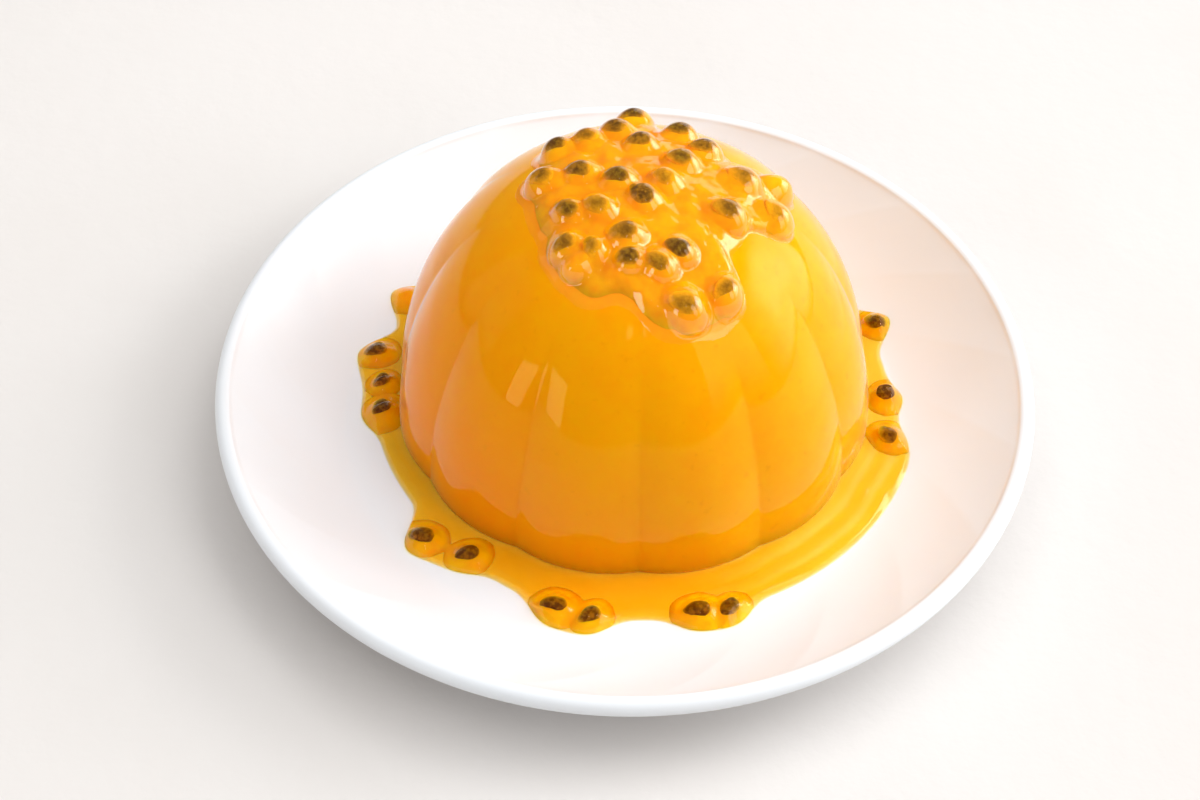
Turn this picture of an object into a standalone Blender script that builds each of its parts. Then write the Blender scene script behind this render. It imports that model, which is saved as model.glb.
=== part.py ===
"""A moulded fruit jelly served on its own small plate.

Four solids: the plate, the lobed jelly standing in its well, the heap of seedy pulp on the
jelly's crown, and the pulp and juice that have run down round the jelly's foot.

The origin is the middle of the plate's foot ring, +Z is up and -Y is the front. A bearing is an
angle from the front towards +X, and a reach is a distance from the jelly's own upright axis.
"""

import math

import bmesh
import bpy
from mathutils import Vector

MM = 0.001
GAP = 0.3 * MM

# Plate
PLATE_RADIUS = 90 * MM
WELL_RADIUS = 62 * MM
WELL_HEIGHT = 5 * MM
PLATE_WALL = 3.4 * MM
LIP_BEAD = 2.1 * MM
LIP_HEIGHT = 17 * MM
LIP_TURN = tuple(math.radians(degrees) for degrees in (129, 95, 55, 0, -45, -85))
FLANGE_END_RADIUS = 86.6 * MM
FLANGE_END_HEIGHT = 18.6 * MM
FLANGE_CURVE = 1.44
FLANGE_BANDS = 5
UNDERSIDE_RADII = (82 * MM, 74 * MM, 66 * MM)
FOOT_RADIUS = 54.5 * MM
FOOT_WIDTH = 4.4 * MM
FOOT_ROUND = 0.7 * MM
FLUTES = 20
STEPS_PER_FLUTE = 5
FLUTE_DEPTH = 0.4 * MM
FLUTE_BEARING = math.radians(4)
FLUTE_TWIST = math.radians(22)

# Jelly
JELLY_CENTRE = Vector((2 * MM, 6.2 * MM, 0))
JELLY_RADIUS = 53.2 * MM
JELLY_HEIGHT = 63 * MM
JELLY_FOOT = WELL_HEIGHT + GAP
JELLY_FULLNESS = 2.45
JELLY_SHOULDER = 1.9
JELLY_BANDS = 14
JELLY_EDGE = 0.8 * MM
LOBES = 12
LOBE_BEARING = math.radians(1.5)
LOBE_DEPTH = 1.35 * MM
LOBES_FADE_FROM = 0.45
LOBES_GONE_AT = 0.97
STEPS_PER_LOBE = 6
SLOPE_STEP = 0.002

# Pulp: each aril is a seed in its sac of gel, placed by its bearing in degrees and reach in mm
ARIL_RADIUS = 4.4 * MM
ARIL_HEIGHT = 2.6 * MM
ARIL_SKIRT = 6.2 * MM
REACH_EASING = math.radians(4)
CROWN_SHEET_REACH = 24 * MM
CROWN_SHEET_HEIGHT = 1.4 * MM
CROWN_EDGE_HEIGHT = 0.7 * MM
CROWN_EDGE_FROM = 0.8
CROWN_BANDS = 7
CROWN_GAP = 0.5 * MM
CROWN_ARILS = (
    (5, 4), (-105, 5), (104, 5), (-52, 11), (133, 11), (-107, 13), (-179, 13),
    (-13, 14), (-65, 16), (24, 18), (72, 18), (135, 18), (-7, 19), (-29, 19),
    (-144, 19), (-164, 19), (10, 20), (-100, 20), (157, 20), (-45, 21), (104, 21),
    (-129, 22), (-34, 23), (-176, 25), (87, 27), (18, 28), (36, 28), (107, 29),
)
BASE_SHEET_REACH = 58.3 * MM
BASE_SHEET_SPREAD = 6 * MM
BASE_SPREAD_BEARINGS = tuple(math.radians(degrees) for degrees in (-60, 0, 72, 88))
BASE_SHEET_HEIGHT = 2.6 * MM
BASE_EDGE_HEIGHT = 0.9 * MM
BASE_LOWER_PARTS = (0, 0.6, 1)
BASE_EDGE_PART = 0.96
BASE_UPPER_PARTS = (0.78, 0.56, 0.3, 0)
BASE_ARILS = (
    (-118, 60), (-100, 60), (-91, 57), (-82, 57), (-46, 63), (-36, 60), (-15, 64), (-8, 65),
    (12, 64), (18, 65), (77, 58), (89, 57), (111, 60), (148, 58), (171, 60), (-152, 59),
)


def smooth_step(start, end, value):
    """0 before start, 1 after end and an eased slope between; start may be above end."""
    part = min(max((value - start) / (end - start), 0), 1)
    return part * part * (3 - 2 * part)


def around(bearing, reach, height, centre=Vector((0, 0, 0))):
    """The point at this bearing and reach from an upright axis."""
    return centre + Vector((reach * math.sin(bearing), -reach * math.cos(bearing), height))


def bearings(steps, start=0.0):
    """Evenly spaced bearings, once round."""
    return [start + 2 * math.pi * step / steps for step in range(steps)]


def add_solid(name, rings, material, closed_section=False):
    """Skins rings of points, in order from the upper face to the lower, into one closed solid.

    Each end ring is filled from its middle. With closed_section the last ring joins the first
    instead, which makes a solid that runs round the axis.
    """
    mesh_builder = bmesh.new()
    loops = [[mesh_builder.verts.new(point) for point in ring] for ring in rings]
    count = len(rings[0])
    pairs = list(zip(loops, loops[1:]))
    if closed_section:
        pairs.append((loops[-1], loops[0]))
    for inner, outer in pairs:
        for step in range(count):
            after = (step + 1) % count
            mesh_builder.faces.new((inner[step], outer[step], outer[after], inner[after]))
    if not closed_section:
        for loop in (loops[0], loops[-1]):
            middle = sum((vertex.co for vertex in loop), Vector()) / count
            hub = mesh_builder.verts.new(middle)
            for step in range(count):
                mesh_builder.faces.new((hub, loop[step], loop[(step + 1) % count]))
    bmesh.ops.recalc_face_normals(mesh_builder, faces=mesh_builder.faces)
    mesh = bpy.data.meshes.new(name)
    mesh_builder.to_mesh(mesh)
    mesh_builder.free()
    mesh.materials.append(material)
    mesh.shade_smooth()
    mesh.set_sharp_from_angle(angle=math.radians(35))
    solid = bpy.data.objects.new(name, mesh)
    bpy.context.scene.collection.objects.link(solid)
    return solid


def make_material(name, colour, roughness):
    """A Principled material with a plain colour and no metal."""
    material = bpy.data.materials.new(name)
    material.use_nodes = True
    shader = material.node_tree.nodes["Principled BSDF"]
    shader.inputs["Base Color"].default_value = (*colour, 1)
    shader.inputs["Roughness"].default_value = roughness
    shader.inputs["Metallic"].default_value = 0
    return material


def plate_height(radius):
    """Height of the plate's upper face at a distance from its middle, without the flutes."""
    part = (radius - WELL_RADIUS) / (FLANGE_END_RADIUS - WELL_RADIUS)
    part = min(max(part, 0), 1)
    return WELL_HEIGHT + (FLANGE_END_HEIGHT - WELL_HEIGHT) * part**FLANGE_CURVE


def flute_relief(radius, bearing):
    """How far a scooped flute sinks below the flange; the flutes swirl as they run inwards."""
    inward = (FLANGE_END_RADIUS - radius) / (FLANGE_END_RADIUS - WELL_RADIUS)
    turns = (bearing - FLUTE_BEARING - FLUTE_TWIST * inward) * FLUTES / (2 * math.pi)
    strength = smooth_step(1, 0.25, inward)
    return FLUTE_DEPTH * strength * math.sin(math.pi * (turns % 1))


def flange_ring(radius, steps):
    """One ring of the fluted upper face; its points follow the flutes' ridges."""
    inward = (FLANGE_END_RADIUS - radius) / (FLANGE_END_RADIUS - WELL_RADIUS)
    ring = []
    for bearing in bearings(steps, FLUTE_BEARING + FLUTE_TWIST * inward):
        height = plate_height(radius) - flute_relief(radius, bearing)
        ring.append(around(bearing, radius, height))
    return ring


def build_plate():
    """The plate: flat well, fluted flange, rolled lip and a foot ring under it."""
    steps = FLUTES * STEPS_PER_FLUTE
    width = FLANGE_END_RADIUS - WELL_RADIUS
    rings = [flange_ring(WELL_RADIUS + width * band / FLANGE_BANDS, steps)
             for band in range(FLANGE_BANDS + 1)]
    lip_centre = PLATE_RADIUS - LIP_BEAD
    outline = []
    for angle in LIP_TURN:
        outline.append((lip_centre + LIP_BEAD * math.cos(angle),
                        LIP_HEIGHT + LIP_BEAD * math.sin(angle)))
    for radius in UNDERSIDE_RADII:
        outline.append((radius, plate_height(radius) - PLATE_WALL))
    recess = WELL_HEIGHT - PLATE_WALL
    foot_inside = FOOT_RADIUS - FOOT_WIDTH
    outline += [
        (FOOT_RADIUS + FOOT_ROUND, recess),
        (FOOT_RADIUS, FOOT_ROUND),
        (FOOT_RADIUS - FOOT_ROUND, 0),
        (foot_inside + FOOT_ROUND, 0),
        (foot_inside, FOOT_ROUND),
        (foot_inside - FOOT_ROUND, recess),
    ]
    rings += [[around(bearing, radius, height) for bearing in bearings(steps, FLUTE_BEARING)]
              for radius, height in outline]
    china = make_material("white glazed china", (0.83, 0.81, 0.78), 0.12)
    return add_solid("plate", rings, china)


def jelly_radius(rise, bearing):
    """Radius of the jelly at a fraction of its height; 12 round lobes meet in creases."""
    body = JELLY_RADIUS * (1 - rise**JELLY_SHOULDER) ** (1 / JELLY_FULLNESS)
    across = (bearing - LOBE_BEARING) * LOBES / (2 * math.pi) % 1
    fade = smooth_step(LOBES_GONE_AT, LOBES_FADE_FROM, rise)
    return body - LOBE_DEPTH * fade * (2 * across - 1) ** 2


def jelly_point(rise, bearing, offset=0.0):
    """A point on the jelly's surface, or this far off it, square to its upright section."""
    low = max(rise - SLOPE_STEP, 0)
    high = min(rise + SLOPE_STEP, 1)
    fall = jelly_radius(low, bearing) - jelly_radius(high, bearing)
    climb = (high - low) * JELLY_HEIGHT
    length = math.hypot(fall, climb)
    reach = jelly_radius(rise, bearing) + offset * climb / length
    height = JELLY_FOOT + JELLY_HEIGHT * rise + offset * fall / length
    return around(bearing, reach, height, JELLY_CENTRE)


def jelly_bearings():
    """The bearings of the jelly's points; every crease is one of them."""
    return bearings(LOBES * STEPS_PER_LOBE, LOBE_BEARING)


def build_jelly():
    """The jelly as it came out of its mould: a lobed dome on a flat base."""
    rings = []
    for band in range(JELLY_BANDS - 1, -1, -1):
        turn = math.pi / 2 * band / JELLY_BANDS
        rise = math.sin(turn) ** (2 / JELLY_SHOULDER)
        rise = max(rise, JELLY_EDGE / JELLY_HEIGHT)
        rings.append([jelly_point(rise, bearing) for bearing in jelly_bearings()])
    rings.append([around(bearing, jelly_radius(0, bearing) - JELLY_EDGE, JELLY_FOOT, JELLY_CENTRE)
                  for bearing in jelly_bearings()])
    amber = make_material("orange jelly", (0.83, 0.32, 0.01), 0.08)
    return add_solid("jelly", rings, amber)


def rise_at(reach, bearing):
    """The fraction of the jelly's height at which its surface has this reach."""
    low = 0.0
    high = 1.0
    for _ in range(30):
        middle = (low + high) / 2
        if jelly_radius(middle, bearing) > reach:
            low = middle
        else:
            high = middle
    return low


def aril_reach(arils, bearing, sheet_reach):
    """How far the pulp reaches at a bearing: out to its sheet, or to an aril that sticks out."""
    reach = sheet_reach
    for degrees, distance in arils:
        turn = bearing - math.radians(degrees)
        aside = distance * MM * math.sin(turn)
        if math.cos(turn) > 0 and abs(aside) < ARIL_RADIUS:
            edge = distance * MM * math.cos(turn) + math.sqrt(ARIL_RADIUS**2 - aside**2)
            reach = max(reach, edge)
    return reach


def even_reach(arils, bearing, sheet_reach):
    """The pulp's reach with the corners between its arils eased, as a thick juice leaves them."""
    nearby = [bearing + REACH_EASING * part for part in (-1, -0.5, 0, 0.5, 1)]
    return sum(aril_reach(arils, near, sheet_reach) for near in nearby) / len(nearby)


def aril_rise(arils, bearing, reach):
    """How far the arils near a place lift the pulp's face there."""
    best = 0.0
    for degrees, distance in arils:
        turn = bearing - math.radians(degrees)
        away = math.sqrt(max(reach**2 + (distance * MM)**2
                             - 2 * reach * distance * MM * math.cos(turn), 0))
        best = max(best, ARIL_HEIGHT * smooth_step(ARIL_SKIRT, 0, away))
    return best


def build_crown_pulp():
    """The heap of pulp on top: its upper face swells over each aril, its lower fits the jelly."""
    upper = []
    lower = []
    for band in range(1, CROWN_BANDS + 1):
        part = band / CROWN_BANDS
        upper_ring = []
        lower_ring = []
        for bearing in jelly_bearings():
            reach = part * even_reach(CROWN_ARILS, bearing, CROWN_SHEET_REACH)
            rise = rise_at(reach, bearing)
            full = smooth_step(1, CROWN_EDGE_FROM, part)
            swell = CROWN_SHEET_HEIGHT - CROWN_EDGE_HEIGHT
            swell += aril_rise(CROWN_ARILS, bearing, reach)
            height = CROWN_EDGE_HEIGHT + full * swell
            upper_ring.append(jelly_point(rise, bearing, CROWN_GAP + height))
            lower_ring.append(jelly_point(rise, bearing, CROWN_GAP))
        upper.append(upper_ring)
        lower.insert(0, lower_ring)
    pulp = make_material("seedy fruit pulp", (0.72, 0.24, 0.01), 0.1)
    return add_solid("crown_pulp", upper + lower, pulp)


def base_reach(bearing):
    """The reach of the juice on the plate, which has spread furthest from the front to +X."""
    begins, full, falls, ends = BASE_SPREAD_BEARINGS
    turned = (bearing + math.pi) % (2 * math.pi) - math.pi
    spread = smooth_step(begins, full, turned) * smooth_step(ends, falls, turned)
    return even_reach(BASE_ARILS, bearing, BASE_SHEET_REACH + BASE_SHEET_SPREAD * spread)


def point_over_plate(bearing, reach, height):
    """The point at this bearing and reach from the jelly's axis, this high over the plate."""
    point = around(bearing, reach, 0, JELLY_CENTRE)
    point.z = plate_height(math.hypot(point.x, point.y)) + GAP + height
    return point


def build_base_pulp():
    """The ring of pulp and juice between the jelly's foot and the plate."""
    sections = []
    for bearing in jelly_bearings():
        inner = jelly_radius(0, bearing) + GAP
        width = base_reach(bearing) - inner
        section = [point_over_plate(bearing, inner + width * part, 0)
                   for part in BASE_LOWER_PARTS]
        section.append(point_over_plate(bearing, inner + width * BASE_EDGE_PART,
                                        BASE_EDGE_HEIGHT))
        for part in BASE_UPPER_PARTS:
            reach = inner + width * part
            height = BASE_EDGE_HEIGHT + (BASE_SHEET_HEIGHT - BASE_EDGE_HEIGHT) * (1 - part)
            height += aril_rise(BASE_ARILS, bearing, reach)
            section.append(point_over_plate(bearing, reach, height))
        sections.append(section)
    rings = [list(ring) for ring in zip(*sections)]
    juice = make_material("pulp and juice", (0.80, 0.36, 0.01), 0.1)
    return add_solid("base_pulp", rings, juice, closed_section=True)


def main():
    for leftover in list(bpy.data.objects):
        bpy.data.objects.remove(leftover)
    build_plate()
    build_jelly()
    build_crown_pulp()
    build_base_pulp()


main()
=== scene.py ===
"""Looks for a moulded fruit jelly on its own plate, laid out as a Blender add-on.

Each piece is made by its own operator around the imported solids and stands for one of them.
Lengths are in metres, +Z is up and -Y is the front. A bearing is an angle from the front
towards +X, and a reach is a distance from the jelly's own upright axis.
"""

import math

import bpy
import numpy as np
from bpy.props import FloatProperty, FloatVectorProperty, IntProperty, PointerProperty
from mathutils import Matrix, Vector, noise


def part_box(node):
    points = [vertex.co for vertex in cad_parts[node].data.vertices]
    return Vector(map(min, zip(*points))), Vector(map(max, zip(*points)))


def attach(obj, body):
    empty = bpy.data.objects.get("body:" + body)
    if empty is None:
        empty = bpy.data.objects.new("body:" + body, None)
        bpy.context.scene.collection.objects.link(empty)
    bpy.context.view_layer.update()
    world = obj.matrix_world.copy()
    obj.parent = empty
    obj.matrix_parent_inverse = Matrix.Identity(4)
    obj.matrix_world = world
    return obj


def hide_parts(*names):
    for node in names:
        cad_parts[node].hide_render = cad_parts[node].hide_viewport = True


bl_info = {
    "name": "Moulded jelly",
    "version": (1, 0, 0),
    "blender": (4, 5, 0),
    "location": "3D View > Sidebar > Jelly",
    "description": "Builds a moulded fruit jelly with seedy pulp on a fluted plate",
    "category": "Add Mesh",
}

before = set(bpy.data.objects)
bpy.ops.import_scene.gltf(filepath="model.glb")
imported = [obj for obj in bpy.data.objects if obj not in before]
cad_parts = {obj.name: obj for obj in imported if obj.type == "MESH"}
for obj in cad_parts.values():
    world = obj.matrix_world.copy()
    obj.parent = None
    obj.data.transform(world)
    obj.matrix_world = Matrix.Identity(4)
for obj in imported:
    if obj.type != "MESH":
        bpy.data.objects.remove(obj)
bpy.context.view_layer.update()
PLATE_LOW, PLATE_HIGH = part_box("plate")
JELLY_LOW, JELLY_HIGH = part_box("jelly")

MM = 0.001
FULL_TURN = 2 * math.pi

# Plate: its section from the well out over the lip and back in under the foot
PLATE_STEPS = 560
WELL_HEIGHT = 5 * MM
WELL_RINGS = (0.3, 0.7, 0.95)
FLANGE_END_RADIUS = 86.6 * MM
FLANGE_END_HEIGHT = 18.6 * MM
FLANGE_CURVE = 1.44
FLANGE_BANDS = 40
LIP_BEAD = 2.1 * MM
LIP_BANDS = 22
LIP_STARTS = math.radians(126)
LIP_ENDS = math.radians(-85)
UNDERSIDE_RADII = (82, 79, 76, 73, 70, 67, 64, 61, 58)
PLATE_WALL = 3.4 * MM
FOOT_RADIUS = 54.5 * MM
FOOT_WIDTH = 4.4 * MM
FOOT_ROUND = 0.7 * MM
FOOT_BEVEL = 0.3 * FOOT_ROUND
FLUTE_BEARING = math.radians(4)
FLUTE_ROUNDNESS = 0.8
FLUTES_FADE_IN = (1, 0.25)
FLUTES_FADE_OUT = (-0.06, 0.08)

# Jelly
JELLY_CENTRE = np.array((2 * MM, 6.2 * MM))
JELLY_BANDS = 130
STEPS_PER_LOBE = 44
JELLY_EDGE = 0.2 * MM
JELLY_EDGE_TURNS = (30, 60, 90)
LOBE_BEARING = math.radians(1.5)
LOBES_FADE_FROM = 0.45
LOBES_GONE_AT = 0.97
CREASE_ROUNDING = 0.025
SLOPE_STEP = 0.002
HALVINGS = 30
# Painted shade: the jelly's body is coloured a deeper, redder orange towards its left and its
# foot, the side away from the lights on the right. The first gives that way and the second the
# span over which the painted shade comes in.
PAINTED_SHADE_WAY = (-0.8, 0, -0.7)
PAINTED_SHADE_SPAN = (-0.035, 0.035)

# Pulp on the crown: a sac is (bearing in degrees, reach in mm, turn of its seed in degrees,
# size), a lump is a sac with no seed in it, and film only widens the gel's outline
CROWN_SACS = (
    (5, 4, -40, 1.0), (-105, 5, 0, 1.0), (104, 5, -35, 0.95), (-52, 11, -20, 1.05),
    (133, 11, -30, 1.0), (-107, 13, -5, 1.0), (-179, 13, 0, 0.95), (-13, 14, 5, 1.05),
    (-65, 16, -25, 0.95), (24, 18, -25, 0.9), (72, 18, -20, 1.05), (135, 18, -5, 0.95),
    (-7, 19, 5, 0.9), (-29, 19, 80, 0.85), (-144, 19, 10, 1.0), (-164, 19, -15, 1.05),
    (10, 20, -35, 1.0), (-100, 20, -5, 1.05), (157, 20, -5, 0.95), (-45, 21, 30, 0.95),
    (104, 21, -20, 1.1), (-129, 22, 15, 0.95), (-176, 25, 5, 1.0), (87, 27, -50, 1.0),
    (18, 28, -15, 1.1), (36, 28, 60, 0.95),
)
CROWN_LUMPS = ((-34, 23, 0, 0.8), (107, 29, 0, 0.9))
CROWN_FILM = ((15, 26, 0, 1.7), (28, 27, 0, 1.6), (-22, 22, 0, 1.5), (0, 22, 0, 1.2))
CROWN_STEPS = 480
CROWN_BANDS = 80
CROWN_SHEET_REACH = 24 * MM
CROWN_MARGIN = 1.6 * MM
CROWN_SHOULDER = 6 * MM
CROWN_EDGE = 1.5 * MM
CROWN_RUMPLE = 0.5
CROWN_FLESH_SHARE = 0.7
CROWN_FLESH_LIMIT = 0.85
CROWN_FLESH_COVER = 0.35 * MM
CROWN_LOWER_STRIDE = 8

# Pulp and juice round the foot: a pair of bearings, in degrees, says where a change begins and
# where it is full, and sacs closer together than BRIDGED degrees are joined by film
BASE_SACS = (
    (-100, 60, 35, 0.95), (-91, 57, 55, 0.8), (-82, 57, 75, 1.05), (-46, 63, -15, 1.0),
    (-36, 60, 20, 0.95), (-15, 64, -15, 1.05), (-8, 65, 40, 0.9), (12, 64, 10, 1.05),
    (18, 65, 50, 0.9), (77, 58, -50, 0.95), (89, 57, 80, 0.95), (111, 60, -30, 0.9),
    (148, 58, 60, 1.0), (171, 60, 0, 0.95), (-152, 59, -40, 1.0),
)
BASE_LUMPS = ((-118, 60, 0, 1.0),)
BASE_STEPS = 960
BASE_BANDS = 44
BASE_INSIDE_RISE = 0.04
BASE_INSIDE_OVERLAP = 1.2 * MM
BASE_LOWER_SHARES = (1, 0.9, 0.6, 0.3, 0)
BASE_MARGIN = 0.5 * MM
BASE_SHEET_REACH = 58.3 * MM
BASE_SHEET_SPREAD = 6 * MM
BASE_SPREAD_BEARINGS = (-60, 0, 72, 88)
BASE_SHEET = 0.9 * MM
BASE_FULLER = 0.65 * MM
BASE_FULLER_BEARINGS = (45, 12)
BASE_THINNER = 0.2
BASE_THINNER_BEARINGS = (-20, -60)
BASE_INSIDE_SHARE = 0.6
BASE_INSIDE_WIDTH = 3 * MM
BASE_SHOULDER = 2.2 * MM
BASE_EDGE = 1 * MM
BASE_EDGE_RISE = 0.15 * MM
BASE_SWELL = 0.74
BASE_RUMPLE = 0.08
BASE_FLESH_SHARE = 0.56
BASE_FLESH_SPREAD = 1.25
BASE_FLESH_RUMPLE = 0.3
BASE_FLESH_FOOT = 0.5 * MM
BASE_FLESH_LIMIT = 0.75
STREAK_WIDTH = 4.4 * MM
STREAK_HEIGHT = 0.32 * MM
STREAK_STARTS = (8, 28)
STREAK_ENDS = (92, 70)
STREAK_WAVER = 2
STREAK_WAVER_REACH = 4 * MM
STREAK_WAVER_SIZE = 1.5 * MM
BRIDGED = 12
BRIDGE_SET_BACK = 0.6

# Every sac and every sheet of gel; OUTLINE_EASING is in degrees
SAC_SHIFT = (0.7 * MM, -0.5 * MM)
FLESH_SHIFT = (0.6 * MM, 0.3 * MM)
SAC_PEAK = 0.9
SAC_MERGE = 5
SAC_RAGGED = 0.16
SMALL_SAC_HEIGHT = 0.6
SMALL_SAC_REACH = 0.5
RUMPLE_SIZE = 4 * MM
FINE_RUMPLE_SIZE = 1.6 * MM
FINE_RUMPLE = 0.25
OUTLINE_STEPS = 1440
OUTLINE_EASING = 5
EDGE_CROWDING = 1.6
SUNK = 0.25 * MM

# Seeds: the spreads are how far the draws go, in degrees for the turn and radians for the tilt
SEED_BANDS = 26
SEED_STEPS = 36
SEED_TAPER = 0.2
SEED_BLUNTNESS = 0.9
SEED_FILL = 1.12
SEED_LUMP_SIZE = 1.6 * MM
SEED_LUMPS = 0.07
SEED_FINE_LUMPS = 0.03
SEED_SLUMP = Vector((-0.06, -0.34, 0))
CROWN_SEED_MIDDLE = 2.1 * MM
BASE_SEED_MIDDLE = 1.5 * MM
SEED_TURN_SPREAD = 8
SEED_TILT_SPREAD = 0.2
SEED_SIZES = (0.95, 1.05)
SEED_VEILS = (-0.12, 0.1)
FIRST_DRAW = 11

# Finishes of the pulp: the densities are per metre, and the shadow colours tint what lies below
CROWN_DEPTH_COLOUR = (1.0, 0.98, 0.2)
CROWN_DENSITY = 300.0
CROWN_COAT = 1.0
CROWN_CLINGS = (0.08, 0.56)
BASE_DEPTH_COLOUR = (1.0, 0.84, 0.0)
BASE_DENSITY = 1300.0
BASE_COAT = 0.5
BASE_CLINGS = (0.26, 0.68)
GEL_SHADOW = (1.0, 0.99, 0.8, 1)
FLESH_SHADOW = (1.0, 0.94, 0.6, 1)

# Stage: the lens and its sensor are in millimetres
FLOOR_HALF = 5.0
LIGHT_DISTANCE = 3.0
LIT_MIDDLE = Vector((0, 0, 30 * MM))
WARM_LIGHT = (1, 0.87, 0.76)
COOL_LIGHT = (0.975, 0.99, 1)
SKY_COLOUR = (1.0, 0.95, 0.9, 1)
SKY_GLOW = 0.15
LENS = 70
SENSOR_WIDTH = 36
VIEW_DISTANCE = 534.1 * MM
VIEW_TARGET = Vector((-5.44 * MM, 8.33 * MM, 0))


# ---------------------------------------------------------------- sizes and colours

class PlateSettings(bpy.types.PropertyGroup):
    """The plate that the jelly is served on."""

    radius: FloatProperty(name="Radius", description="Outside radius of the lip",
                          default=(PLATE_HIGH.x - PLATE_LOW.x) / 2, unit="LENGTH")
    well_radius: FloatProperty(name="Well radius", description="Radius of the flat middle",
                               default=62 * MM, unit="LENGTH")
    flutes: IntProperty(name="Flutes", description="Scooped flutes round the flange",
                        default=20, min=3)
    flute_depth: FloatProperty(name="Flute depth", description="How far a flute is scooped",
                               default=0.3 * MM, unit="LENGTH")
    flute_twist: FloatProperty(name="Flute twist", description="Swirl of a flute on its way in",
                               default=math.radians(22), unit="ROTATION")
    glaze: FloatVectorProperty(name="Glaze", description="Colour of the glazed china",
                               default=(0.835, 0.865, 0.9), size=3, subtype="COLOR")


class JellySettings(bpy.types.PropertyGroup):
    """The moulded jelly."""

    radius: FloatProperty(name="Radius", description="Radius at the foot of a lobe",
                          default=53.2 * MM, unit="LENGTH")
    height: FloatProperty(name="Height", description="Height over the plate's well",
                          default=JELLY_HIGH.z - JELLY_LOW.z, unit="LENGTH")
    fullness: FloatProperty(name="Fullness", description="How upright the sides stand",
                            default=2.45, min=1)
    shoulder: FloatProperty(name="Shoulder", description="How flat the top is",
                            default=1.9, min=1)
    lobes: IntProperty(name="Lobes", description="Round lobes that the mould gave it",
                       default=12, min=3)
    lobe_depth: FloatProperty(name="Lobe depth", description="Depth of the creases",
                              default=1.35 * MM, unit="LENGTH")
    colour: FloatVectorProperty(name="Colour", description="Colour of the jelly's body",
                                default=(0.975, 0.41, 0.001), size=3, subtype="COLOR")
    deep_colour: FloatVectorProperty(name="Deep colour", description="Colour of its darker clouds",
                                     default=(0.965, 0.375, 0.001), size=3, subtype="COLOR")


class PulpSettings(bpy.types.PropertyGroup):
    """The seedy pulp and its juice."""

    sac_length: FloatProperty(name="Sac length", description="Length of one sac of gel",
                              default=10.2 * MM, unit="LENGTH")
    sac_width: FloatProperty(name="Sac width", description="Width of one sac of gel",
                             default=8.8 * MM, unit="LENGTH")
    sac_height: FloatProperty(name="Sac height", description="Height of a sac over its base",
                              default=4.4 * MM, unit="LENGTH")
    sheet: FloatProperty(name="Sheet", description="Thickness of the gel between the sacs",
                         default=1.5 * MM, unit="LENGTH")
    seed_length: FloatProperty(name="Seed length", description="Length of a seed",
                               default=5.6 * MM, unit="LENGTH")
    seed_width: FloatProperty(name="Seed width", description="Width of a seed",
                              default=4.3 * MM, unit="LENGTH")
    seed_height: FloatProperty(name="Seed height", description="Thickness of a seed",
                               default=2.3 * MM, unit="LENGTH")
    gel: FloatVectorProperty(name="Gel", description="Tint of the gel's surface",
                             default=(1.0, 0.99, 0.6), size=3, subtype="COLOR")
    seed_dark: FloatVectorProperty(name="Dark seed", description="Darker colour of the seeds",
                                   default=(0.085, 0.032, 0.004), size=3, subtype="COLOR")
    seed_light: FloatVectorProperty(name="Light seed", description="Lighter colour of the seeds",
                                    default=(0.31, 0.135, 0.014), size=3, subtype="COLOR")
    flesh: FloatVectorProperty(name="Flesh", description="Cloudy flesh that clings to a seed",
                               default=(0.96, 0.41, 0.002), size=3, subtype="COLOR")
    pale_flesh: FloatVectorProperty(name="Pale flesh", description="Flesh under the foot's juice",
                                    default=(0.98, 0.64, 0.01), size=3, subtype="COLOR")


class StageSettings(bpy.types.PropertyGroup):
    """The floor, the lights and the camera."""

    floor: FloatVectorProperty(name="Floor", description="Colour of the floor",
                               default=(0.75, 0.718, 0.695), size=3, subtype="COLOR")
    key_glow: FloatProperty(name="Key light", description="Radiance of the large soft light",
                            default=3.55, min=0)
    fill_glow: FloatProperty(name="Fill light", description="Radiance of the light overhead",
                             default=1.25, min=0)
    pitch: FloatProperty(name="Pitch", description="How far the camera looks down",
                         default=math.radians(47.76), unit="ROTATION")
    roll: FloatProperty(name="Roll", description="How far the camera leans",
                        default=math.radians(0.83), unit="ROTATION")


# ---------------------------------------------------------------- materials

class Value:
    """A socket of a node; arithmetic on it adds Math nodes to its finish."""

    def __init__(self, finish, socket):
        self.finish = finish
        self.socket = socket

    def maths(self, operation, first, second):
        return self.finish.node("ShaderNodeMath", {"operation": operation},
                                {0: first, 1: second})

    def __add__(self, other):
        return self.maths("ADD", self, other)

    def __radd__(self, other):
        return self.maths("ADD", other, self)

    def __sub__(self, other):
        return self.maths("SUBTRACT", self, other)

    def __rsub__(self, other):
        return self.maths("SUBTRACT", other, self)

    def __mul__(self, other):
        return self.maths("MULTIPLY", self, other)

    def __rmul__(self, other):
        return self.maths("MULTIPLY", other, self)


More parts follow.
